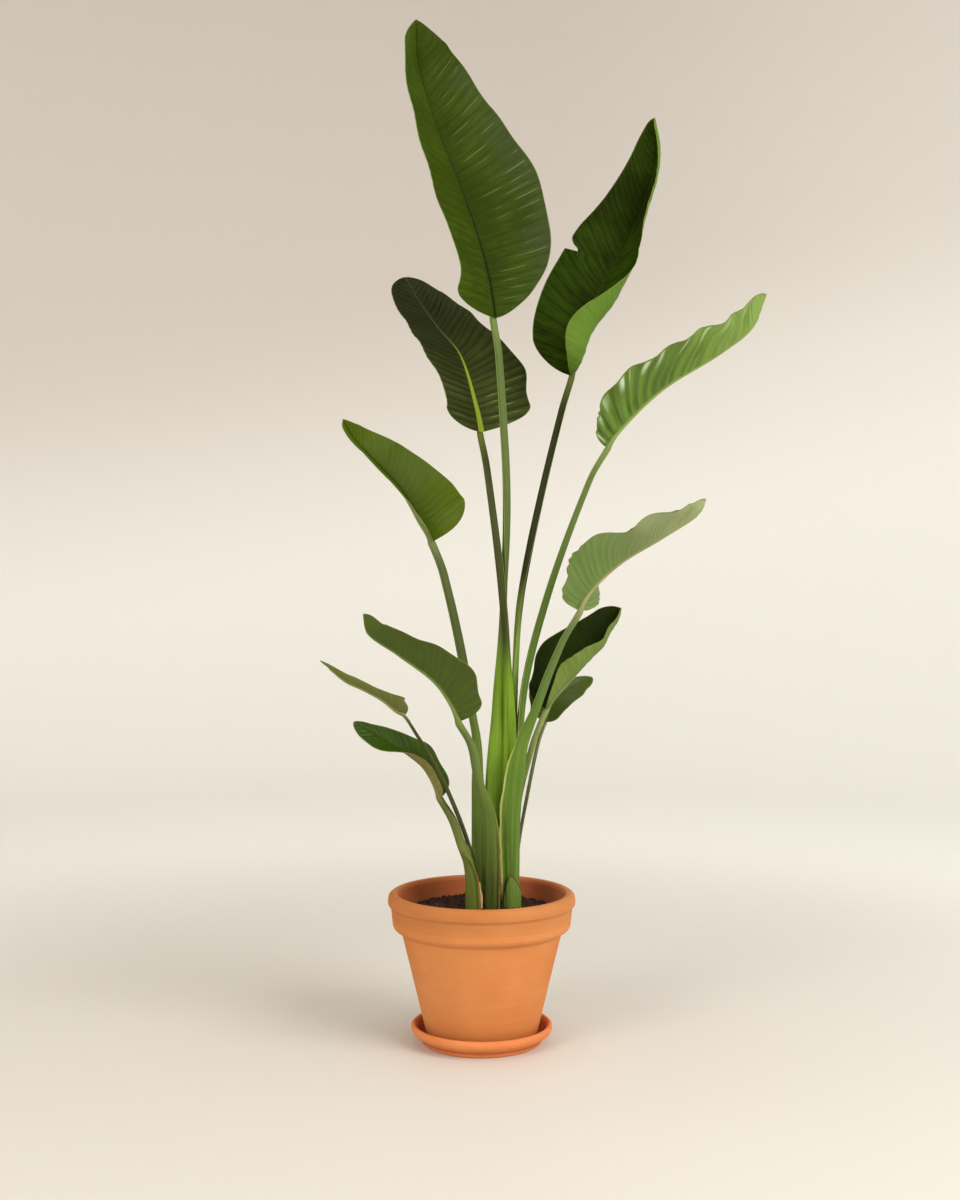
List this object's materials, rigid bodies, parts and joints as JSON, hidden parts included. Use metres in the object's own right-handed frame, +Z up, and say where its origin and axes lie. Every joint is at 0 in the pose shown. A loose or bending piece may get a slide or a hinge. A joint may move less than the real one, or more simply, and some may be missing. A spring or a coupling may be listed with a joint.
{
  "type": "potted bird of paradise plant",
  "caption": "Tall house plant with long-stalked paddle leaves, some folded or torn, in a round clay pot with a thick rim, on a clay saucer.",
  "frame": {"origin": "middle of the saucer's underside, on the surface that it stands on", "axes": "+Z up, -Y to the front where the picture looks from, +X to the right seen from the front"},
  "size_m": [0.6889, 0.392, 1.6553],
  "materials": {
    "pot_clay": "unglazed fired clay, matte, with faint throwing lines",
    "saucer_clay": "unglazed fired clay, matte",
    "soil": "dark loose bark and peat crumbs",
    "dark_blade": "waxy dark green upper side, paler matte underside",
    "pale_blade": "satin mid green with fine ribs",
    "dark_stalk": "satin dark olive",
    "green_stalk": "satin fresh green, finely ribbed",
    "dry_husk": "dry and papery"
  },
  "bodies": {
    "root": {"saucer": "saucer_clay", "pot": "pot_clay", "soil": "soil", "leaf_01_blade": "dark_blade", "leaf_01_stalk": "green_stalk", "leaf_02_blade": "dark_blade", "leaf_02_stalk": "dark_stalk", "leaf_03_blade": "dark_blade", "leaf_03_stalk": "dark_stalk", "leaf_04_blade": "pale_blade", "leaf_04_stalk": "green_stalk", "leaf_05_blade": "pale_blade", "leaf_05_stalk": "green_stalk", "leaf_06_blade": "pale_blade", "leaf_06_stalk": "green_stalk", "leaf_07_blade": "dark_blade", "leaf_07_stalk": "green_stalk", "leaf_08_blade": "pale_blade", "leaf_08_stalk": "green_stalk", "leaf_09_blade": "pale_blade", "leaf_09_stalk": "green_stalk", "leaf_10_blade": "pale_blade", "leaf_10_stalk": "dark_stalk", "leaf_11_blade": "dark_blade", "leaf_11_stalk": "green_stalk", "cut_sheath": "green_stalk", "dry_sheath": "dry_husk"}
  },
  "joints": []
}
